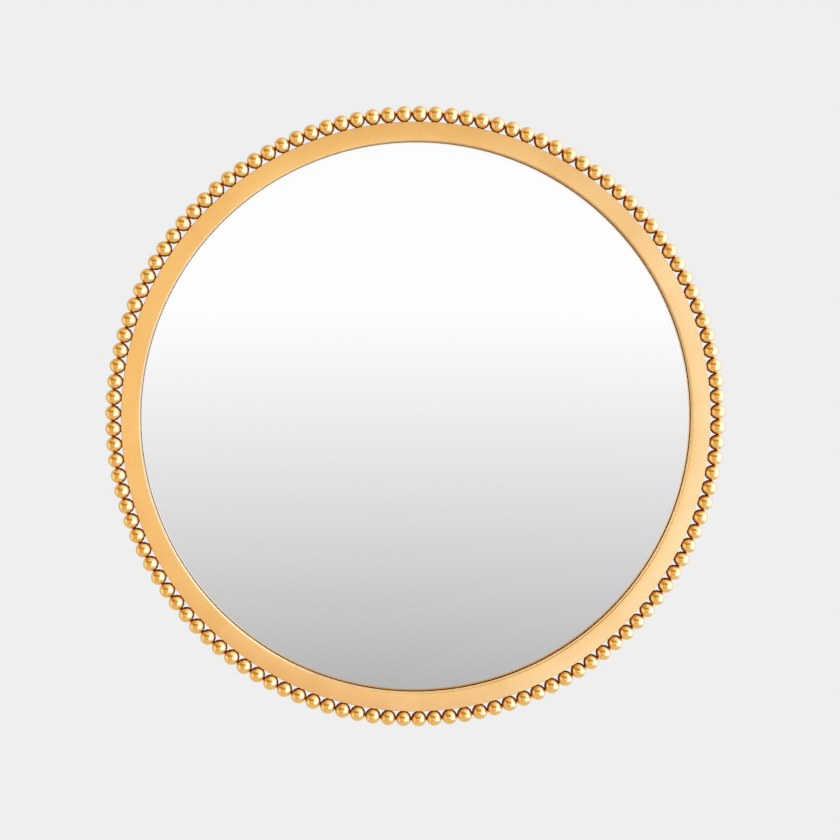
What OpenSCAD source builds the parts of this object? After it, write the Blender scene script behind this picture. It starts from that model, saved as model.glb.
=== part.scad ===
// Round wall mirror with a gilded steel band and a ring of balls welded round its edge.
// Millimetres, +Z up. The glass faces -Y. The origin is the mirror's centre on the wall plane.
// Every piece is drawn in a front frame: x to the right, y up, z out of the wall towards the viewer.

/* [Band] */
// Radius of the glass that shows, out to the inner wall of the band
sight_r = 355; // [280:1:450]
// Radial width of the gilded band
band_w = 24; // [22:0.5:32]
// Thickness of the flat bar that the outer hoop is rolled from
steel_t = 2; // [1.5:0.1:2.4]
// Thickness of the sheet that the band's front is pressed from
sheet_t = 1.2; // [1:0.1:1.5]
// How far the band's front rolls back on its way in to the nose
face_roll = 0.3; // [0.1:0.1:0.8]
// Radius of the rolled nose along the band's inner edge, outside the sheet
nose_r = 1.6; // [1.6:0.1:3]
// Radius of the broken edge along the band's outer side
edge_r = 0.6; // [0.3:0.1:1]
// Depth of the inner wall behind the band's edge
lip_d = 8; // [6:0.5:12]

/* [Balls] */
// Diameter of one ball
ball_d = 20; // [16:0.5:24]
// How far the balls' centres lie behind the band's edge
ball_set = 3.5; // [0:0.5:8]
// Least gap between one ball and the next
ball_gap = 0.02; // [0.02:0.01:0.1]
// Gap at a weld, between two pieces of steel that it joins
weld_gap = 0.05; // [0.02:0.01:0.1]

/* [Glass and its seat] */
// Thickness of the mirror glass
glass_t = 4; // [3:0.5:5]
// How far the glass reaches behind the band's inner wall
glass_lap = 8; // [6:0.5:9]
// Thickness of the ring that the glass seats against
ledge_t = 1.5; // [1:0.1:2]
// Thickness of the foam tape between ledge and glass
tape_t = 0.5; // [0.4:0.1:1]
// How far the tape is set back from the ledge's inner edge, out of sight
tape_set = 3; // [1:0.1:4]
// How far the tape ends inside the edge of the glass
tape_edge = 0.5; // [0.5:0.1:1.5]
// Width of the ground arris on the glass
arris = 0.5; // [0.3:0.1:0.8]

/* [Backing board] */
// Depth of the recess behind the board, which the hangers lie in
rear_recess = 6.7; // [6.3:0.1:12]
// Thickness of the fibre board
board_t = 6; // [5:0.5:7]
// Clearance between the board's edge and the hoop
board_clear = 0.5; // [0.3:0.1:1]
// Number of lugs welded inside the hoop, one board screw in each
lug_count = 8; // [6:1:12]
// Width of a lug along the hoop
lug_w = 18; // [14:1:24]
// Thickness of a lug
lug_t = 4.5; // [3:0.5:5]
// Clearance between a lug and the glass edge
lug_clear = 1.5; // [1:0.1:2]
// Radius of the board screws' shank
bolt_r = 2; // [1.5:0.1:2.2]
// Length of the board screws under the head
bolt_l = 10; // [8.5:0.5:10.5]
// Radius of the board screws' head
bolt_head_r = 4; // [3.5:0.1:4.5]
// Height of the board screws' head
bolt_head_h = 2.6; // [2:0.1:3]
// Radial clearance round the shank in the board
board_hole_clear = 0.3; // [0.2:0.1:0.5]

/* [Hangers] */
// Distance of each hanger from the mirror's upright centre line
hang_x = 215; // [160:1:240]
// Height of the hangers' ring bars above the mirror's centre
hang_z = 200; // [140:1:220]
// Width of the folded strap
strap_w = 14; // [12:0.5:18]
// Thickness of one layer of the strap
strap_t = 1.2; // [1:0.1:1.2]
// Distance from the ring bar to where the strap's two layers meet
strap_neck = 4.4; // [4:0.1:5]
// Distance from the upper screw to the lower one
screw_pitch = 16; // [10:0.5:24]
// Distance from the lower screw to the strap's round end
strap_end = 8.5; // [7.5:0.5:12]
// Radius of the ring's wire
wire_r = 1.6; // [1.4:0.1:1.7]
// Radius of the bends beside the ring's bar, to the wire's centre
bend_r = 3.2; // [3:0.1:4]
// Straight arms between those bends and the ring's bow
arm_l = 2; // [1:0.5:5]
// End play of the strap's eye along the ring's bar, at each side
eye_play = 0.5; // [0.3:0.1:1]
// Radial clearance of the bar in the eye
eye_clear = 0.1; // [0.05:0.01:0.1]
// Clearance between the hanging ring and the strap behind it
hang_clear = 0.3; // [0.2:0.1:0.4]
// Clearance between the hanging ring and the upper screw's head
ring_clear = 0.6; // [0.4:0.1:2]
// Radius of the hanger screws' shank
screw_r = 1.75; // [1.5:0.05:1.9]
// Length of the hanger screws in the board
screw_l = 4.6; // [3.5:0.1:4.8]
// Radius of the hanger screws' head
screw_head_r = 3.4; // [3:0.1:3.8]
// Height of the hanger screws' head
screw_head_h = 2; // [1.6:0.1:2.2]
// Radial clearance of the hanger screws in strap and board
screw_clear = 0.1; // [0.05:0.05:0.3]

/* [Wall bumpers] */
// Radius of a rubber bumper
bumper_r = 9; // [6:0.5:12]
// Distance of each bumper from the upright centre line
bumper_x = 205; // [150:1:230]
// Distance of each bumper below the mirror's centre
bumper_z = 240; // [200:1:260]

/* [Hidden] */
// Colours of the gilding, the bare steel, the glass, the fibre board and the rubber
gilding = [0.94, 0.76, 0.49];
bare_steel = [0.72, 0.73, 0.74];
silvered = [0.9, 0.91, 0.91];
fibre_board = [0.55, 0.41, 0.28];
black_rubber = [0.1, 0.1, 0.1];

// Facets of large rings, balls, wires and small round parts
fn_ring = 240;
fn_ball = 32;
fn_wire = 32;
fn_small = 40;
// Steps of an arc in an outline
arc_steps = 6;
roll_steps = 10;
// Reach of a cutter past the face that it cuts
over = 1;

band_r = sight_r + band_w;
hoop_in_r = band_r - steel_t;

ball_ring_r = band_r + weld_gap + ball_d / 2;
ball_count = floor(180 / asin((ball_d + ball_gap) / (2 * ball_ring_r)));
arc_count = 12;

// The pieces stack up from the wall plane to the band's front
board_back = rear_recess;
glass_back = board_back + board_t;
glass_front = glass_back + glass_t;
ledge_z = glass_front + tape_t;
lip_z = ledge_z + ledge_t;
edge_z = lip_z + lip_d;
glass_r = sight_r + glass_lap;
board_r = hoop_in_r - board_clear;

lug_in_r = glass_r + lug_clear;
lug_out_r = hoop_in_r - weld_gap;
bolt_ring_r = (lug_in_r + lug_out_r) / 2;
lug_hole_r = bolt_r + weld_gap;

eye_in_r = wire_r + eye_clear;
eye_out_r = eye_in_r + strap_t;
eye_z = board_back - eye_out_r;
strap_back = board_back - 2 * strap_t;
bar_l = strap_w + 2 * eye_play;
bow_r = bar_l / 2 + bend_r;
ring_reach = bend_r + arm_l + bow_r;
screw_1 = ring_reach + wire_r + ring_clear + screw_head_r;
screw_offsets = [screw_1, screw_1 + screw_pitch];
strap_l = screw_1 + screw_pitch + strap_end;
screw_hole_r = screw_r + screw_clear;
screw_hole_d = screw_l + screw_clear;
// The hanging ring leans off the strap, by the angle that clears the strap's edges
lean_reach = bend_r + arm_l + sqrt(pow(bow_r, 2) - pow(strap_w / 2, 2));
hang_lean = asin((eye_z - strap_back + wire_r + hang_clear) / lean_reach);

// Share of a screw head's height that its rounded rim takes, and the chamfer at a shank's end
head_round = 0.55;
shank_chamfer = 0.4;
// Share of a head's radius that its cross recess spans, its width and its depth
recess_span = 1.1;
recess_w = 0.9;
recess_d = 1.2;
// Rounding of a bumper's front rim, up to a share of its height
bumper_round = 2;
bumper_round_share = 1 / 3;

function arc_name(k) = str("ball_arc_", k < 10 ? "0" : "", k);

// Points of an arc round [cx, cy], from angle a0 to angle a1
function arc(cx, cy, r, a0, a1, steps = arc_steps) =
    [for (i = [0:steps]) let (a = a0 + (a1 - a0) * i / steps) [cx + r * cos(a), cy + r * sin(a)]];

// Stands the front frame up: z comes out of the wall along -Y, y points up along +Z
module front() {
    rotate([90, 0, 0]) children();
}

// A ring of revolution about the mirror's axis, from an outline of [radius, z] points
module ring(points) {
    front() rotate_extrude($fn = fn_ring) polygon(points);
}

// Rolled flat bar: the frame's outer wall, from the wall plane to the band's outer edge
module outer_hoop() {
    color(gilding)
        ring(concat(
            [[hoop_in_r, 0], [band_r, 0]],
            arc(band_r - edge_r, edge_z - edge_r, edge_r, 0, 90, 3),
            [[hoop_in_r, edge_z]]
        ));
}

// Pressed front of the band: its face rolls back towards the nose, and the nose turns into the sight lip
module front_ring() {
    slope = atan(3 * face_roll / (hoop_in_r - sight_r - nose_r));
    nose_z = edge_z - face_roll - nose_r * cos(slope);
    face_in_r = sight_r + nose_r * (1 - sin(slope));
    face = [
        for (i = [0:roll_steps])
            let (u = i / roll_steps)
            [hoop_in_r + (face_in_r - hoop_in_r) * u, edge_z - face_roll * pow(u, 3)]
    ];
    nose = arc(sight_r + nose_r, nose_z, nose_r, 90 + slope, 180);
    inside = arc(sight_r + nose_r, nose_z, nose_r - sheet_t, 180, 90 + slope, 3);
    color(gilding)
        ring(concat(
            [[hoop_in_r, edge_z - sheet_t]],
            face,
            [for (i = [1:arc_steps]) nose[i]],
            [[sight_r, lip_z], [sight_r + sheet_t, lip_z]],
            inside
        ));
}

// Flat ring welded behind the lip, which the glass seats against
module glass_ledge() {
    color(gilding)
        ring([[sight_r, ledge_z], [glass_r, ledge_z], [glass_r, lip_z], [sight_r, lip_z]]);
}

// One run of the balls that stand shoulder to shoulder round the band, touching its outer wall
module ball_arc(k) {
    pitch = 360 / ball_count;
    color(gilding)
        front()
            for (i = [0:ball_count - 1])
                if (floor(i * arc_count / ball_count) == k - 1)
                    rotate(90 - i * pitch)
                        translate([ball_ring_r, 0, edge_z - ball_set])
                            sphere(d = ball_d, $fn = fn_ball);
}

// Foam tape that cushions the glass on its ledge
module seating_tape() {
    tape_in = sight_r + tape_set;
    tape_out = glass_r - tape_edge;
    color(black_rubber)
        ring([
            [tape_in, glass_front], [tape_out, glass_front],
            [tape_out, ledge_z], [tape_in, ledge_z]
        ]);
}

// Silvered float glass with ground arrises
module mirror_glass() {
    color(silvered)
        ring([
            [0, glass_back], [glass_r - arris, glass_back], [glass_r, glass_back + arris],
            [glass_r, glass_front - arris], [glass_r - arris, glass_front], [0, glass_front]
        ]);
}

// Places children at each lug, at the radius of the board screws
module at_lugs() {
    for (i = [0:lug_count - 1])
        rotate((i + 0.5) * 360 / lug_count)
            translate([bolt_ring_r, 0, 0])
                children();
}

// Places children at each screw of the hanger on one side, -1 for the left and 1 for the right
module at_hanger_screws(side) {
    for (d = screw_offsets)
        translate([side * hang_x, hang_z - d, 0])
            children();
}

// Fibre board that closes the frame from behind and holds the glass on its tape
module backing_board() {
    color(fibre_board)
        front()
            difference() {
                translate([0, 0, board_back])
                    cylinder(r = board_r, h = board_t, $fn = fn_ring);
                at_lugs()
                    translate([0, 0, board_back - over])
                        cylinder(r = bolt_r + board_hole_clear, h = board_t + 2 * over, $fn = fn_small);
                for (side = [-1, 1])
                    at_hanger_screws(side)
                        translate([0, 0, board_back - over])
                            cylinder(r = screw_hole_r, h = screw_hole_d + over, $fn = fn_small);
            }
}

// Tapped steel lugs, welded to the inside of the hoop beside the glass
module board_lugs() {
    color(gilding)
        front()
            intersection() {
                cylinder(r = lug_out_r, h = edge_z, $fn = fn_ring);
                at_lugs()
                    difference() {
                        translate([lug_in_r - bolt_ring_r, -lug_w / 2, glass_back])
                            cube([band_r - lug_in_r, lug_w, lug_t]);
                        translate([0, 0, glass_back - over])
                            cylinder(r = lug_hole_r, h = lug_t + 2 * over, $fn = fn_small);
                    }
            }
}

// Pan head screw with a cross recess, its seat at z = 0, its shank towards +z and its head towards -z
module pan_screw(shank_r, length, head_r, head_h) {
    round_h = head_h * head_round;
    difference() {
        rotate_extrude($fn = fn_small)
            polygon(concat(
                [[0, length], [shank_r - shank_chamfer, length], [shank_r, length - shank_chamfer]],
                [[shank_r, 0], [head_r, 0]],
                arc(head_r - round_h, round_h - head_h, round_h, 0, -90, 4),
                [[0, -head_h]]
            ));
        for (a = [0, 90])
            rotate(a)
                translate([-head_r * recess_span / 2, -recess_w / 2, -head_h - over])
                    cube([head_r * recess_span, recess_w, recess_d + over]);
    }
}

// Machine screws through the board into the lugs
module board_screws() {
    color(bare_steel)
        front()
            at_lugs()
                translate([0, 0, board_back])
                    pan_screw(bolt_r, bolt_l, bolt_head_r, bolt_head_h);
}

// Strap folded double round the ring's bar, with two screw holes and a round end
module hanger_strap(side) {
    tip = strap_l - strap_w / 2;
    profile = concat(
        arc(0, eye_z, eye_out_r, 90, -90, 12),
        [[-strap_neck, strap_back], [-strap_l, strap_back], [-strap_l, board_back]]
    );
    outline = concat(
        [[strap_w / 2, eye_out_r + over]],
        [[-strap_w / 2, eye_out_r + over]],
        arc(0, -tip, strap_w / 2, 180, 360, 16)
    );
    color(bare_steel)
        front()
            translate([side * hang_x, hang_z, 0])
                difference() {
                    intersection() {
                        rotate([90, 0, 90])
                            linear_extrude(height = strap_w, center = true)
                                polygon(profile);
                        translate([0, 0, eye_z])
                            linear_extrude(height = 2 * eye_out_r + over, center = true)
                                polygon(outline);
                    }
                    translate([-strap_w / 2 - over, 0, eye_z])
                        rotate([0, 90, 0])
                            cylinder(r = eye_in_r, h = strap_w + 2 * over, $fn = fn_small);
                    for (d = screw_offsets)
                        translate([0, -d, strap_back - over])
                            cylinder(r = screw_hole_r, h = 2 * (strap_t + over), $fn = fn_small);
                }
}

// D-shaped wire ring on its straight bar, drawn hanging down behind the strap
module d_ring(side) {
    color(bare_steel)
        front()
            translate([side * hang_x, hang_z, eye_z])
                rotate([180 + hang_lean, 0, 0]) {
                    rotate([0, 90, 0])
                        cylinder(r = wire_r, h = bar_l, center = true, $fn = fn_wire);
                    for (s = [-1, 1]) {
                        translate([s * bar_l / 2, bend_r, 0])
                            rotate(s > 0 ? -90 : 180)
                                rotate_extrude(angle = 90, $fn = 4 * fn_wire)
                                    translate([bend_r, 0])
                                        circle(r = wire_r, $fn = fn_wire);
                        translate([s * bow_r, bend_r, 0])
                            rotate([-90, 0, 0])
                                cylinder(r = wire_r, h = arm_l, $fn = fn_wire);
                    }
                    translate([0, bend_r + arm_l, 0])
                        rotate_extrude(angle = 180, $fn = 4 * fn_wire)
                            translate([bow_r, 0])
                                circle(r = wire_r, $fn = fn_wire);
                }
}

// Wood screws that hold one hanger to the board
module hanger_screws(side) {
    color(bare_steel)
        front()
            at_hanger_screws(side)
                translate([0, 0, strap_back])
                    pan_screw(screw_r, 2 * strap_t + screw_l, screw_head_r, screw_head_h);
}

// Rubber bumpers on the board's lower half, level with the hoop's rear rim
module wall_bumpers() {
    round_r = min(bumper_round, board_back * bumper_round_share);
    color(black_rubber)
        front()
            for (side = [-1, 1])
                translate([side * bumper_x, -bumper_z, 0])
                    rotate_extrude($fn = fn_small)
                        polygon(concat(
                            [[0, board_back], [0, 0]],
                            arc(bumper_r - round_r, round_r, round_r, -90, 0, 4),
                            [[bumper_r, board_back]]
                        ));
}

outer_hoop();
front_ring();
glass_ledge();
for (k = [1:arc_count]) ball_arc(k);
seating_tape();
mirror_glass();
backing_board();
board_lugs();
board_screws();
hanger_strap(-1);  // hanger_strap_left
hanger_strap(1);  // hanger_strap_right
d_ring(-1);  // d_ring_left
d_ring(1);  // d_ring_right
hanger_screws(-1);  // hanger_screws_left
hanger_screws(1);  // hanger_screws_right
wall_bumpers();
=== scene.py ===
import math

import bpy
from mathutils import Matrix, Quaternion, Vector


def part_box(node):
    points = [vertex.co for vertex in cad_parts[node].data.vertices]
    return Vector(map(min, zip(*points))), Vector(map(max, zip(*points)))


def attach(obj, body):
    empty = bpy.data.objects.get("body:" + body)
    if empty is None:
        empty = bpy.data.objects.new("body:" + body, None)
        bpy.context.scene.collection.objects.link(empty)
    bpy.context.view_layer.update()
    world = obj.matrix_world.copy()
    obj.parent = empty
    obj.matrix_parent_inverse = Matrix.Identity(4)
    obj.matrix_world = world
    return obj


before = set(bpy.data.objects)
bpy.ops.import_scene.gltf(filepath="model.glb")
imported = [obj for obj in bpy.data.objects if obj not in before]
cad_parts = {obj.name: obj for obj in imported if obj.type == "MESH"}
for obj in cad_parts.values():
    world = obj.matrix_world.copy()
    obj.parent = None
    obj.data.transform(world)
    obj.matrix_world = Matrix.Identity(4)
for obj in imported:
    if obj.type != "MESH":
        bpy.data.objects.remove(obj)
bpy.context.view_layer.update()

# Dresses the CAD model of a round wall mirror: materials, the silver coat and the weld metal,
# and a floor, light and a camera to show it.

# Sizes in metres, in the part's own frame: the glass faces -Y, and +Z is up
BALL_COUNT = 122
PITCH = 2 * math.pi / BALL_COUNT
BALL_R = 0.010
RING_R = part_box("ball_arc_01")[1].z - BALL_R
BALL_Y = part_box("ball_arc_01")[0].y + BALL_R
HOOP_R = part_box("outer_hoop")[1].x
FACE_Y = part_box("front_ring")[0].y
GLASS_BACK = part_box("mirror_glass")[1].y
GLASS_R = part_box("mirror_glass")[1].x

# Camera, as fitted to the photograph's circles
IMAGE_PX = 840
FOCAL_PX = 1537.8
SENSOR_MM = 36
CAMERA_AT = Vector((-0.1284, -1.9899, 0.1264))
AIM = Vector((0.0009, BALL_Y, 0.0))
ROLL = math.radians(0.094)


def add_camera():
    """The photograph's own view."""
    cam = bpy.data.cameras.new("Camera")
    cam.sensor_width = SENSOR_MM
    cam.lens = FOCAL_PX / IMAGE_PX * SENSOR_MM
    cam.clip_start = 0.05
    obj = bpy.data.objects.new("Camera", cam)
    obj.location = CAMERA_AT
    look = (AIM - CAMERA_AT).to_track_quat("-Z", "Y")
    obj.rotation_euler = (look @ Quaternion((0, 0, 1), ROLL)).to_euler()
    bpy.context.scene.collection.objects.link(obj)
    bpy.context.scene.camera = obj


def grey(value):
    """A neutral colour."""
    return (value, value, value, 1)


class Graph:
    """Short calls that build a node tree. A value is a number, a colour or a node's output."""

    def __init__(self, tree):
        self.tree = tree
        tree.nodes.clear()

    def node(self, kind, inputs=None, **settings):
        """A node with its settings and then its inputs, which go by name or by place."""
        n = self.tree.nodes.new("ShaderNode" + kind)
        for key, value in settings.items():
            setattr(n, key, value)
        for key, value in (inputs or {}).items():
            self.put(n.inputs[key], value)
        return n

    def put(self, socket, value):
        """Links a node's output to the socket, or writes a plain value on it."""
        if isinstance(value, bpy.types.NodeSocket):
            self.tree.links.new(value, socket)
        else:
            socket.default_value = value

    def math(self, op, *values):
        return self.node("Math", dict(enumerate(values)), operation=op).outputs[0]

    def add(self, a, b):
        return self.math("ADD", a, b)

    def sub(self, a, b):
        return self.math("SUBTRACT", a, b)

    def mul(self, a, b):
        return self.math("MULTIPLY", a, b)

    def div(self, a, b):
        return self.math("DIVIDE", a, b)

    def absolute(self, value):
        return self.math("ABSOLUTE", value)

    def length(self, a, b):
        """Length of the vector with the sides a and b."""
        return self.math("SQRT", self.add(self.mul(a, a), self.mul(b, b)))

    def most(self, first, *others):
        """The largest of the values."""
        for other in others:
            first = self.math("MAXIMUM", first, other)
        return first

    def weigh(self, *terms):
        """Sum of the values, each times its weight."""
        parts = [self.mul(value, weight) for value, weight in terms]
        total = parts.pop()
        while parts:
            total = self.add(parts.pop(), total)
        return total

    def vary(self, base, *noises):
        """The base, moved up and down by each noise times its weight."""
        return self.add(base, self.weigh(*((self.sub(noise, 0.5), weight)
                                           for noise, weight in noises)))

    def step(self, value, low, high, to_low=0.0, to_high=1.0):
        """Smooth step from to_low at low to to_high at high; low may be the larger."""
        if low > high:
            low, high, to_low, to_high = high, low, to_high, to_low
        n = self.node("MapRange", {"Value": value, "From Min": low, "From Max": high,
                                   "To Min": to_low, "To Max": to_high},
                      interpolation_type="SMOOTHSTEP")
        return n.outputs["Result"]

    def between(self, value, low, high, soft):
        """1 between low and high, falling smoothly to 0 over soft on each side of both."""
        return self.mul(self.step(value, low - soft, low + soft),
                        self.step(value, high + soft, high - soft))

    def mix(self, factor, a, b):
        """Colour mix: a where factor is 0, b where it is 1."""
        n = self.node("Mix", {"Factor": factor, "A": a, "B": b}, data_type="RGBA")
        return n.outputs["Result"]

    def noise(self, vector, scale, detail=3.0, roughness=0.5, distortion=0.0):
        n = self.node("TexNoise", {"Vector": vector, "Scale": scale, "Detail": detail,
                                   "Roughness": roughness, "Distortion": distortion})
        return n.outputs["Fac"]

    def white_noise(self, number):
        """A value from 0 to 1, always the same for the same number."""
        return self.node("TexWhiteNoise", {"W": number}, noise_dimensions="1D").outputs["Value"]

    def position(self):
        """Object coordinates, which are the frame's own metres."""
        return self.node("TexCoord").outputs["Object"]

    def split(self, vector):
        """The x, y and z of a vector."""
        return tuple(self.node("SeparateXYZ", {"Vector": vector}).outputs)

    def vector(self, x, y, z):
        return self.node("CombineXYZ", {"X": x, "Y": y, "Z": z}).outputs[0]

    def stretch(self, parts, scales):
        """A vector of the parts, each times its own scale, for noise drawn out in one direction."""
        return self.vector(*(self.mul(part, scale) for part, scale in zip(parts, scales)))

    def polar(self, x, z):
        """Radius from the mirror's axis, and angle clockwise from the top."""
        return self.length(x, z), self.math("ARCTAN2", x, z)


def new_material(name):
    """An empty material and the graph that fills it."""
    m = bpy.data.materials.new(name)
    m.use_nodes = True
    return m, Graph(m.node_tree)


def close(g, shader, height=None, strength=0.0, distance=0.0):
    """Links a shader to the output, bumped by a height; the bump's distance is in metres."""
    if height is not None:
        bump = g.node("Bump", {"Height": height, "Strength": strength, "Distance": distance})
        g.put(shader.inputs["Normal"], bump.outputs[0])
    g.node("OutputMaterial", {"Surface": shader.outputs[0]})


# Gilding: leaf and its deeper tone, and the dark red primer under it, whose colour also paints
# shade in the crevices
GOLD = (0.97, 0.61, 0.195, 1)
GOLD_DEEP = (0.85, 0.46, 0.110, 1)
BALL_GOLD = (0.93, 0.57, 0.160, 1)
BALL_DEEP = (0.84, 0.45, 0.095, 1)
# Deep amber: painted shade and bounced light on the balls' side facing the band, and flecks on the
# weld metal
AMBER_AND_SHADE = (0.60, 0.23, 0.030, 1)
BOLE_AND_SHADE = (0.175, 0.007, 0.001, 1)
BOLE_ROUGHER = 0.35              # than the leaf
COAT = 0.35                      # weight of the varnish on the leaf
LEAVES = 29                      # sheets of leaf round the band
LEAF_ANGLE = 2 * math.pi / LEAVES

# Wear of the band's leaf, and painted shade round the balls, in metres: where each starts, and
# where it is full
RUBBED_IN = (0.0009, 0.0001)     # inside the hoop's outer wall
RUBBED_BACK = (0.0012, 0.0004)   # behind the band's face
WALL_SIDE_Y = (-0.0040, -0.0005)  # depth, close to the wall
# The next two are painted shade in dark red, in the crevice round the point where a ball touches
# the hoop
CREVICE_SHADE_R = (0.0055, 0.0020)        # round the point where a ball touches
CREVICE_SHADE_IN = (0.0004, 0.0001)       # inside the hoop's outer wall


def gilded_surface(g, gold, wear_and_shade_mask, roughness):
    """Principled gold leaf: dark red primer where the mask is 1, which is worn leaf in some places
    and painted shade in others.
    """
    leaf = g.sub(1.0, wear_and_shade_mask)
    return g.node("BsdfPrincipled", {"Base Color": g.mix(wear_and_shade_mask, gold, BOLE_AND_SHADE),
                                     "Metallic": leaf,
                                     "Roughness": g.add(roughness, g.mul(wear_and_shade_mask, BOLE_ROUGHER)),
                                     "Specular IOR Level": 0.02,
                                     "Coat Weight": g.mul(leaf, COAT),
                                     "Coat Roughness": 0.25})


def nearest_ball(g, angle):
    """Number of the nearest ball round the ring, and how many pitches the angle is off it."""
    turns = g.div(angle, PITCH)
    number = g.math("ROUND", turns)
    return number, g.sub(turns, number)


def leaf_sheets(g, at, angle):
    """A tone for each sheet of leaf round the band, and the seams between them, in stretches."""
    drift = g.mul(g.sub(g.noise(at, scale=60.0, detail=2.0), 0.5), 0.10)
    sheet = g.add(g.div(angle, LEAF_ANGLE), drift)
    seam = g.step(g.absolute(g.sub(g.math("FRACT", sheet), 0.5)), 0.493, 0.499)
    stretches = g.step(g.noise(at, scale=35.0, detail=2.0), 0.45, 0.60)
    return g.white_noise(g.math("FLOOR", sheet)), g.mul(seam, stretches)


def band_wear_and_shade(g, at, y, radius, angle):
    """Bare primer on flecks of the rubbed front edge and on thin leaf by the wall, and painted
    shade in dark red round each ball's contact.
    """
    edge = g.mul(g.step(radius, HOOP_R - RUBBED_IN[0], HOOP_R - RUBBED_IN[1]),
                 g.step(y, FACE_Y + RUBBED_BACK[0], FACE_Y + RUBBED_BACK[1]))
    edge = g.mul(edge, g.step(g.noise(at, scale=240.0, detail=2.0), 0.50, 0.62, 0.0, 0.8))
    thin = g.mul(g.step(y, *WALL_SIDE_Y, 0.0, 0.4),
                 g.step(g.noise(at, scale=55.0, detail=3.0, roughness=0.55), 0.45, 0.65))
    # Painted shade: dark red on the hoop in the crevice round each ball's contact
    along = g.mul(g.absolute(nearest_ball(g, angle)[1]), PITCH * HOOP_R)
    depth = g.absolute(g.sub(y, BALL_Y))
    weld = g.mul(g.step(g.length(along, depth), *CREVICE_SHADE_R),
                 g.step(radius, HOOP_R - CREVICE_SHADE_IN[0], HOOP_R - CREVICE_SHADE_IN[1]))
    return g.most(edge, thin, weld)


def band_material():
    """Gold leaf laid in sheets round the band, with streaks along it and faint seams across, and
    painted shade round each ball's contact.
    """
    m, g = new_material("gold_leaf_band")
    at = g.position()
    x, y, z = g.split(at)
    radius, angle = g.polar(x, z)
    along = g.mul(angle, HOOP_R)
    streak = g.noise(g.stretch((along, radius, y), (18.0, 420.0, 420.0)),
                     scale=1.0, detail=4.0, roughness=0.6)
    cloud = g.noise(at, scale=16.0, detail=3.0, roughness=0.55)
    grain = g.noise(at, scale=900.0, detail=2.0, roughness=0.6)
    tone, seam = leaf_sheets(g, at, angle)
    deep = g.weigh((tone, 0.24), (g.step(cloud, 0.3, 0.7), 0.32), (streak, 0.22))
    # Worn leaf and seams, and the painted shade round each ball's contact
    wear_and_shade = g.most(band_wear_and_shade(g, at, y, radius, angle), g.mul(seam, 0.08))
    rough = g.vary(0.33, (streak, 0.08), (grain, 0.08))
    height = g.weigh((streak, 0.40), (grain, 0.25), (seam, -0.3))
    shader = gilded_surface(g, g.mix(deep, GOLD, GOLD_DEEP), wear_and_shade, rough)
    close(g, shader, height, strength=0.06, distance=0.0004)
    return m


def ball_material():
    """Gold leaf on the balls, with painted shade in dark red where they meet the band and each
    other.
    """
    m, g = new_material("gold_leaf_balls")
    at = g.position()
    x, _, z = g.split(at)
    radius, angle = g.polar(x, z)
    number, off = nearest_ball(g, angle)
    off = g.mul(off, PITCH)
    # Place on the ball as seen from the front, in shares of its radius: out from the mirror,
    # along the ring, and from the ball's own centre
    out = g.div(g.sub(g.mul(radius, g.math("COSINE", off)), RING_R), BALL_R)
    side = g.div(g.mul(radius, g.math("SINE", off)), BALL_R)
    rim = g.length(out, side)
    # Painted shade in dark red: a crescent on the side facing the band, the seat against the hoop,
    # and where neighbours touch
    shade_crescent = g.mul(g.step(rim, 0.905, 0.940), g.step(out, 0.22, -0.10))
    seat_shade = g.step(out, -0.86, -0.95)
    pinch_shade = g.step(g.absolute(side), 0.93, 0.985)
    # Painted shade and bounced light: a deeper amber next to the crescent, on the side facing the
    # band
    glow = g.mul(g.step(rim, 0.70, 0.92), g.step(out, 0.30, -0.20))
    cloud = g.noise(at, scale=150.0, detail=3.0, roughness=0.55)
    grain = g.noise(at, scale=1400.0, detail=2.0, roughness=0.6)
    deep = g.weigh((g.white_noise(number), 0.18), (g.step(cloud, 0.35, 0.7), 0.25))
    gold = g.mix(deep, BALL_GOLD, BALL_DEEP)
    gold = g.mix(g.mul(glow, 0.42), gold, AMBER_AND_SHADE)
    rough = g.vary(0.20, (cloud, 0.10), (grain, 0.06))
    shader = gilded_surface(g, gold, g.most(shade_crescent, seat_shade, pinch_shade), rough)
    close(g, shader, g.weigh((cloud, 0.7), (grain, 0.2)), strength=0.12, distance=0.0006)
    return m


def neck_shade_material():
    """Painted shade in dark red on the weld metal in the crevices, with flecks of gold that has
    pooled round the welds.
    """
    m, g = new_material("weld_necks_painted_shade")
    fleck = g.noise(g.position(), scale=700.0, detail=3.0, roughness=0.6)
    colour = g.mix(g.step(fleck, 0.50, 0.66, 0.0, 0.4), BOLE_AND_SHADE, AMBER_AND_SHADE)
    shader = g.node("BsdfPrincipled", {"Base Color": colour, "Roughness": 0.55,
                                       "Specular IOR Level": 0.15})
    close(g, shader, fleck, strength=0.3, distance=0.0004)
    return m


# The mirror and its back
GLASS = grey(0.99)
GLASS_GLOSS = grey(0.25)
SILVER = grey(0.965)
SILVER_DULL = (0.55, 0.53, 0.50, 1)
DULL_EDGE = 0.012                # width in metres
FIBRE = (0.42, 0.285, 0.17, 1)
FIBRE_DARK = (0.27, 0.17, 0.095, 1)
FIBRE_PALE = (0.48, 0.335, 0.205, 1)
SCORCH = (0.12, 0.07, 0.04, 1)
SCORCH_IN = (0.010, 0.003)       # metres inside the hoop's outer wall: its start, and full
ZINC = (0.70, 0.70, 0.68, 1)
ZINC_BLOOM = (0.62, 0.60, 0.50, 1)
DUST = (2.4, 2.3, 2.2)           # how many times paler than the rubber its dust is


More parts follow.
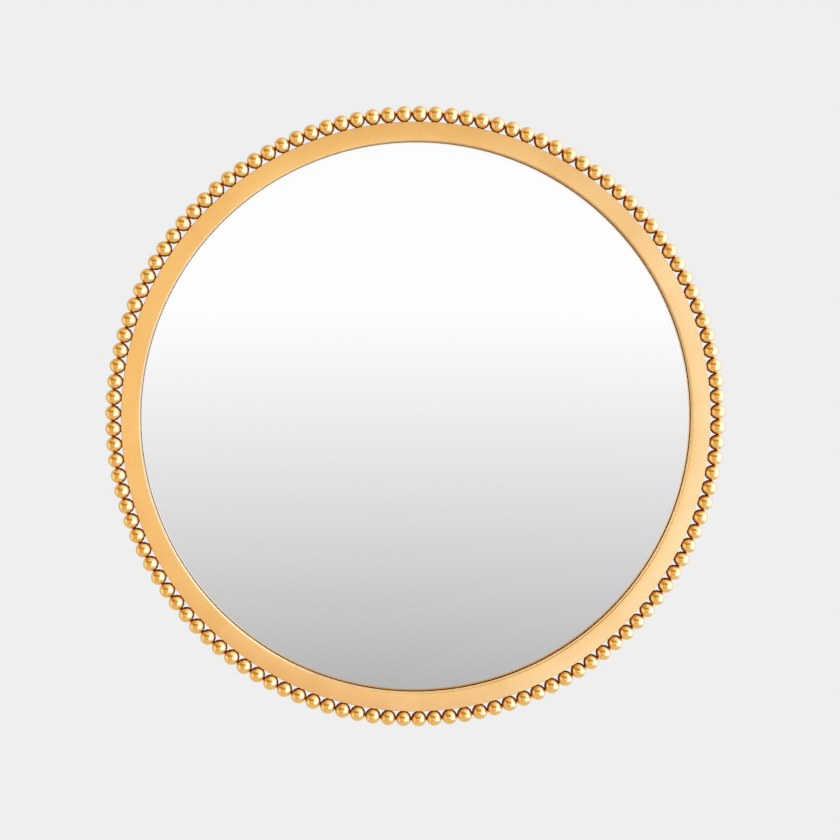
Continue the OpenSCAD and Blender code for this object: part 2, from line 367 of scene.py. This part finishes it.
def glass_material():
    """Clear float glass over the silvering, with a very slight wave."""
    m, g = new_material("float_glass")
    wave = g.noise(g.position(), scale=3.0, detail=1.0)
    shader = g.node("BsdfPrincipled", {"Base Color": GLASS, "Roughness": 0.0, "IOR": 1.52,
                                       "Specular Tint": GLASS_GLOSS, "Transmission Weight": 1.0})
    close(g, shader, wave, strength=0.02, distance=0.0001)
    return m


def silver_material():
    """Silvering, a little less even towards its edge."""
    m, g = new_material("silvering")
    at = g.position()
    x, _, z = g.split(at)
    haze = g.mul(g.step(g.length(x, z), GLASS_R - DULL_EDGE, GLASS_R),
                 g.noise(at, scale=400.0, detail=4.0, roughness=0.6))
    shader = g.node("BsdfPrincipled", {"Base Color": g.mix(haze, SILVER, SILVER_DULL),
                                       "Metallic": 1.0, "Roughness": g.mul(haze, 0.3)})
    close(g, shader)
    return m


def board_material():
    """Raw fibre board: matted fibres, darker flecks and a scorched look at the sawn edge."""
    m, g = new_material("fibre_board")
    at = g.position()
    x, y, z = g.split(at)
    fleck = g.noise(at, scale=700.0, detail=5.0, roughness=0.7)
    cloud = g.noise(at, scale=9.0, detail=4.0, roughness=0.6)
    fibre = g.noise(g.stretch((x, y, z), (260.0, 260.0, 900.0)),
                    scale=1.0, detail=4.0, roughness=0.7, distortion=1.2)
    sawn = g.step(g.length(x, z), HOOP_R - SCORCH_IN[0], HOOP_R - SCORCH_IN[1], 0.0, 0.55)
    colour = g.mix(g.step(fleck, 0.35, 0.70), FIBRE, FIBRE_DARK)
    colour = g.mix(g.mul(g.step(cloud, 0.35, 0.7), 0.35), colour, FIBRE_PALE)
    colour = g.mix(sawn, colour, SCORCH)
    shader = g.node("BsdfPrincipled", {"Base Color": colour,
                                       "Roughness": g.step(fibre, 0.3, 0.7, 0.70, 0.88)})
    close(g, shader, g.add(fibre, fleck), strength=0.35, distance=0.0004)
    return m


def zinc_material():
    """Zinc-plated steel: fine drawing lines, a faint yellow bloom and dull spots."""
    m, g = new_material("zinc_plate")
    at = g.position()
    line = g.noise(g.stretch(g.split(at), (5000.0, 900.0, 250.0)),
                   scale=1.0, detail=3.0, roughness=0.6)
    bloom = g.noise(at, scale=160.0, detail=3.0, roughness=0.6)
    colour = g.mix(g.step(bloom, 0.40, 0.70), ZINC, ZINC_BLOOM)
    rough = g.add(0.24, g.mul(g.step(bloom, 0.3, 0.8), 0.18))
    shader = g.node("BsdfPrincipled", {"Base Color": colour, "Metallic": 1.0, "Roughness": rough})
    close(g, shader, line, strength=0.12, distance=0.0003)
    return m


def rubber_material(name, shade, pore_scale):
    """Black rubber or foam with a fine pore grain and a dusty bloom."""
    m, g = new_material(name)
    at = g.position()
    pore = g.noise(at, scale=pore_scale, detail=4.0, roughness=0.6)
    dust = g.mul(g.step(g.noise(at, scale=90.0, detail=3.0), 0.4, 0.8), 0.6)
    dusty = tuple(shade * paler for paler in DUST) + (1,)
    shader = g.node("BsdfPrincipled", {"Base Color": g.mix(dust, grey(shade), dusty),
                                       "Roughness": g.step(pore, 0.3, 0.7, 0.55, 0.80)})
    close(g, shader, pore, strength=0.35, distance=0.0003)
    return m


def link_mesh(name, verts, faces):
    """A new object in the scene, and its mesh."""
    mesh = bpy.data.meshes.new(name)
    mesh.from_pydata(verts, [], faces)
    obj = bpy.data.objects.new(name, mesh)
    bpy.context.scene.collection.objects.link(obj)
    return obj, mesh


def mesh_piece(name, verts, faces, material):
    """Adds a piece of the object that is fixed to the frame, and gives its mesh."""
    obj, mesh = link_mesh(name, verts, faces)
    mesh.validate()
    mesh.materials.append(material)
    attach(obj, "frame")
    return mesh


def circle(sides):
    """Angles round a full turn."""
    return [2 * math.pi * i / sides for i in range(sides)]


# The silver coat, in metres
SILVER_SIDES = 256
SILVER_LIFT = 0.00003            # inside the glass's back face
SILVER_IN = 0.0008               # inside the glass's rim

# The collar of weld metal between two balls, in metres
NECK_HALF = 0.00040              # half its length
NECK_END_R = 0.0026
NECK_WAIST_R = 0.0021
NECK_STEPS = (-1.0, -0.5, 0.0, 0.5, 1.0)
NECK_SIDES = 14

# The fillet of weld metal between a ball and the hoop, in metres
FILLET_WIDE = 0.0048             # half its width along the hoop, at the ball
FILLET_DEEP = 0.0025             # half its depth, at the ball
FILLET_FOOT = 1.08               # share of both at the hoop
FILLET_WAIST = 0.93              # and in between
FILLET_SINK = 0.00006            # how far its ends reach into the hoop and the ball
FILLET_SIDES = 24


def silvering_piece(material):
    """The silver coat, a disc just inside the glass's back face."""
    y = GLASS_BACK - SILVER_LIFT
    edge = GLASS_R - SILVER_IN
    verts = [(0.0, y, 0.0)]
    verts += [(edge * math.sin(a), y, edge * math.cos(a)) for a in circle(SILVER_SIDES)]
    faces = [(0, 1 + i, 1 + (i + 1) % SILVER_SIDES) for i in range(SILVER_SIDES)]
    mesh_piece("silvering", verts, faces, material)


def tube(verts, faces, rings):
    """Adds one open tube through rings of points, all of the same count."""
    first, sides = len(verts), len(rings[0])
    for ring in rings:
        verts.extend(ring)
    for j in range(len(rings) - 1):
        for i in range(sides):
            a, b = first + j * sides + i, first + j * sides + (i + 1) % sides
            faces.append((a, b, b + sides, a + sides))


def ball_neck(centre, along):
    """Rings of a waisted collar between two balls; its ends lie inside them."""
    turn = Vector((0, 0, 1)).rotation_difference(along).to_matrix()
    rings = []
    for t in NECK_STEPS:
        r = NECK_WAIST_R + (NECK_END_R - NECK_WAIST_R) * t * t
        rings.append([centre + turn @ Vector((r * math.cos(a), r * math.sin(a), NECK_HALF * t))
                      for a in circle(NECK_SIDES)])
    return rings


def hoop_fillet(out, along):
    """Rings of the oval fillet between the hoop and a ball; its top follows the ball's curve."""
    depth = Vector((0, 1, 0))
    rings = [[], [], [], []]
    for a in circle(FILLET_SIDES):
        across, back = FILLET_WIDE * math.cos(a), FILLET_DEEP * math.sin(a)
        rise = RING_R - HOOP_R - math.sqrt(BALL_R ** 2 - across ** 2 - back ** 2)
        # From the hoop to the ball: share of the width, and height above the hoop's wall
        levels = ((FILLET_FOOT, -FILLET_SINK), (FILLET_WAIST, rise * 0.3),
                  (FILLET_WAIST, rise * 0.6), (1.0, rise + FILLET_SINK))
        for ring, (share, height) in zip(rings, levels):
            ring.append(out * (HOOP_R + height) + along * across * share
                        + depth * (BALL_Y + back * share))
    return rings


def on_ring(angle):
    """Directions outwards and along the ring at an angle clockwise from the top."""
    return (Vector((math.sin(angle), 0, math.cos(angle))),
            Vector((math.cos(angle), 0, -math.sin(angle))))


def neck_pieces(material):
    """Weld necks between neighbouring balls, and a fillet between each ball and the hoop."""
    verts, faces = [], []
    for i in range(BALL_COUNT):
        out, along = on_ring((i + 0.5) * PITCH)
        centre = out * RING_R * math.cos(PITCH / 2)
        centre.y = BALL_Y
        tube(verts, faces, ball_neck(centre, along))
        tube(verts, faces, hoop_fillet(*on_ring(i * PITCH)))
    # The necks carry the painted shade of the crevices in their dark red colour
    mesh = mesh_piece("weld_necks_painted_shade", verts, faces, material)
    mesh.shade_smooth()


def dress():
    """Gives every CAD node its material, and adds the silver coat and the weld metal."""
    band = band_material()
    balls = ball_material()
    zinc = zinc_material()
    looks = {"outer_hoop": band, "front_ring": band, "glass_ledge": band, "board_lugs": band,
             "mirror_glass": glass_material(), "backing_board": board_material(),
             "seating_tape": rubber_material("foam_tape", 0.012, 1500.0),
             "wall_bumpers": rubber_material("bumper_rubber", 0.02, 900.0)}
    for name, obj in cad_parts.items():
        if name.startswith("ball_arc_"):
            looks[name] = balls
        obj.data.materials[0] = looks.get(name, zinc)
    silvering_piece(silver_material())
    neck_pieces(neck_shade_material())


# Floor, in metres
FLOOR_Z = -1.45
FLOOR_HALF = 2.4
FLOOR_FADE = (1.1, 2.3)          # radius where it starts to fade, and where it is gone
FLOOR_COLOUR = grey(0.80)

# Lamps: place and width in metres, and watts
LAMPS = (("key", (2.3, -2.6, 1.7), 1.8, 50.0),
         ("fill", (-2.6, -1.8, 0.9), 1.6, 15.0),
         ("rear", (0.8, 2.8, 1.6), 1.6, 30.0))

# What the world shows to the camera, and what it sheds on matt surfaces
BACKGROUND = grey(0.8632)
PLAIN_LIGHT = grey(0.75)

# The room that the mirror shows: degrees up from the level, and the light there
ROOM_WALL = {"From Min": -16.0, "From Max": 1.2, "To Min": 0.398, "To Max": 1.060}
ROOM_BRIGHTEST = 1.031
ROOM_FLOOR = (-17.0, -34.0, 0.0, 0.34)

# The studio that metal shows. Gold reflects little blue, so what looks white in it is blue here.
STUDIO_FRONT = (1.23, 1.25, 1.27, 1)
STUDIO_LEFT = (0.86, 0.76, 0.54, 1)
STUDIO_ABOVE = (0.62, 0.36, 0.01, 1)
STUDIO_BELOW = (0.52, 0.16, 0.00, 1)
STUDIO_BEHIND = grey(0.80)
GLOW = (1.55, 1.65, 1.85, 1)     # just left of the front
GAP = (0.70, 0.58, 0.40, 1)      # a darker strip left of that
LEFT_PANEL = (1.20, 1.26, 1.55, 1)
TOP_PANEL = (1.15, 1.22, 1.50, 1)
AMBER_BAR = (0.36, 0.20, 0.02, 1)
WINDOW = (1.20, 1.92, 4.60, 1)
WINDOW_CORE = (1.20, 1.95, 5.40, 1)
WINDOW_RIM = (1.15, 1.45, 2.20, 1)
WINDOW_LEAN = 0.25               # degrees to the right for each one up, doubled above the level


def add_floor():
    """Pale floor at the hanging height of such a mirror, fading out at its edge."""
    half = FLOOR_HALF
    obj, mesh = link_mesh("floor", [(-half, -half, FLOOR_Z), (half, -half, FLOOR_Z),
                                    (half, half, FLOOR_Z), (-half, half, FLOOR_Z)], [(0, 1, 2, 3)])
    m, g = new_material("pale_floor")
    x, y, _ = g.split(g.position())
    matt = g.node("BsdfDiffuse", {"Color": FLOOR_COLOUR})
    clear = g.node("BsdfTransparent")
    both = g.node("MixShader", {0: g.step(g.length(x, y), *FLOOR_FADE),
                                1: matt.outputs[0], 2: clear.outputs[0]})
    close(g, both)
    mesh.materials.append(m)


def room_light(g, up):
    """A plain room: its wall brightens upwards, and the floor below it downwards."""
    wall = g.node("MapRange", {"Value": up, **ROOM_WALL}).outputs["Result"]
    light = g.add(g.math("MINIMUM", wall, ROOM_BRIGHTEST), g.step(up, *ROOM_FLOOR))
    return g.vector(light, light, light)


def studio_light(g, across, up, wallward):
    """A studio with soft panels, an amber bar and a large window to the right.

    Directions are in degrees: across from straight out of the glass to the viewer's right, and
    up from the level. wallward, from -1 to 1, is how far a direction points at the wall. Each
    surface covers the ones before it.
    """
    def patch(sides, ends, soft_sides, soft_ends, over=across):
        """1 between two sides and a lower and upper end, with soft edges."""
        return g.mul(g.between(over, *sides, soft_sides), g.between(up, *ends, soft_ends))

    above = g.mul(g.step(up, 1.0, 9.0), g.step(across, 30.0, 10.0))
    below = g.mul(g.step(up, -6.0, -12.0),
                  g.mul(g.step(across, 9.0, 2.0), g.step(across, -12.0, -4.0, 0.35, 1.0)))
    glow = g.mul(patch((-20.0, -3.0), (-8.0, 10.0), 5.0, 5.0), 0.6)
    gap = patch((-29.0, -19.0), (-34.0, 30.0), 4.0, 8.0)
    left_panel = patch((-98.0, -58.0), (-40.0, 20.0), 8.0, 10.0)
    top_panel = g.mul(g.step(up, 34.0, 50.0), g.step(across, -50.0, 0.0, 0.3, 1.0))
    bar = g.mul(g.between(up, 20.0, 34.0, 6.0),
                g.weigh((g.between(across, -62.0, -30.0, 10.0), 0.45),
                        (g.between(across, -110.0, 14.0, 10.0), 0.36)))
    lean = g.sub(across, g.mul(g.add(up, g.most(up, 0.0)), WINDOW_LEAN))
    window = patch((18.0, 130.0), (-58.0, 60.0), 12.0, 18.0, over=lean)
    core = patch((46.0, 120.0), (-30.0, 22.0), 18.0, 16.0, over=lean)
    rim = g.mul(window, g.step(across, 84.0, 112.0))
    behind = g.mul(g.step(wallward, -0.05, 0.20), g.sub(1.0, window))

    studio = g.mix(g.step(across, -22.0, -44.0), STUDIO_FRONT, STUDIO_LEFT)
    for mask, colour in ((above, STUDIO_ABOVE), (below, STUDIO_BELOW), (glow, GLOW), (gap, GAP),
                         (left_panel, LEFT_PANEL), (top_panel, TOP_PANEL), (bar, AMBER_BAR),
                         (window, WINDOW), (core, WINDOW_CORE), (rim, WINDOW_RIM),
                         (behind, STUDIO_BEHIND)):
        studio = g.mix(mask, studio, colour)
    return studio


def add_world():
    """The world, by what looks at it.

    The camera sees the plain pale background, metal sees the studio, and the silvering, which
    looks out through its glass, sees the room. Everything else is lit by a plain grey.
    """
    world = bpy.data.worlds.new("studio")
    bpy.context.scene.world = world
    world.use_nodes = True
    g = Graph(world.node_tree)
    dx, dy, dz = g.split(g.node("TexCoord").outputs["Generated"])
    degrees = 180 / math.pi
    across = g.mul(g.math("ARCTAN2", dx, g.mul(dy, -1.0)), degrees)
    up = g.mul(g.math("ARCSINE", dz), degrees)
    ray = g.node("LightPath").outputs
    light = g.mix(ray["Is Glossy Ray"], PLAIN_LIGHT, studio_light(g, across, up, dy))
    light = g.mix(ray["Is Transmission Ray"], light, room_light(g, up))
    light = g.mix(ray["Is Camera Ray"], light, BACKGROUND)
    back = g.node("Background", {"Color": light, "Strength": 1.0})
    g.node("OutputWorld", {"Surface": back.outputs[0]})


def add_lamp(name, at, width, watts):
    """A round soft lamp, aimed at the mirror's centre, that neither camera nor metal sees."""
    light = bpy.data.lights.new(name, "AREA")
    light.shape = "DISK"
    light.size = width
    light.energy = watts
    obj = bpy.data.objects.new(name, light)
    obj.location = at
    obj.rotation_euler = (-Vector(at)).to_track_quat("-Z", "Y").to_euler()
    obj.visible_glossy = False
    obj.visible_camera = False
    bpy.context.scene.collection.objects.link(obj)


dress()
add_camera()
add_floor()
add_world()
for lamp in LAMPS:
    add_lamp(*lamp)
bpy.context.scene.view_settings.view_transform = "Standard"
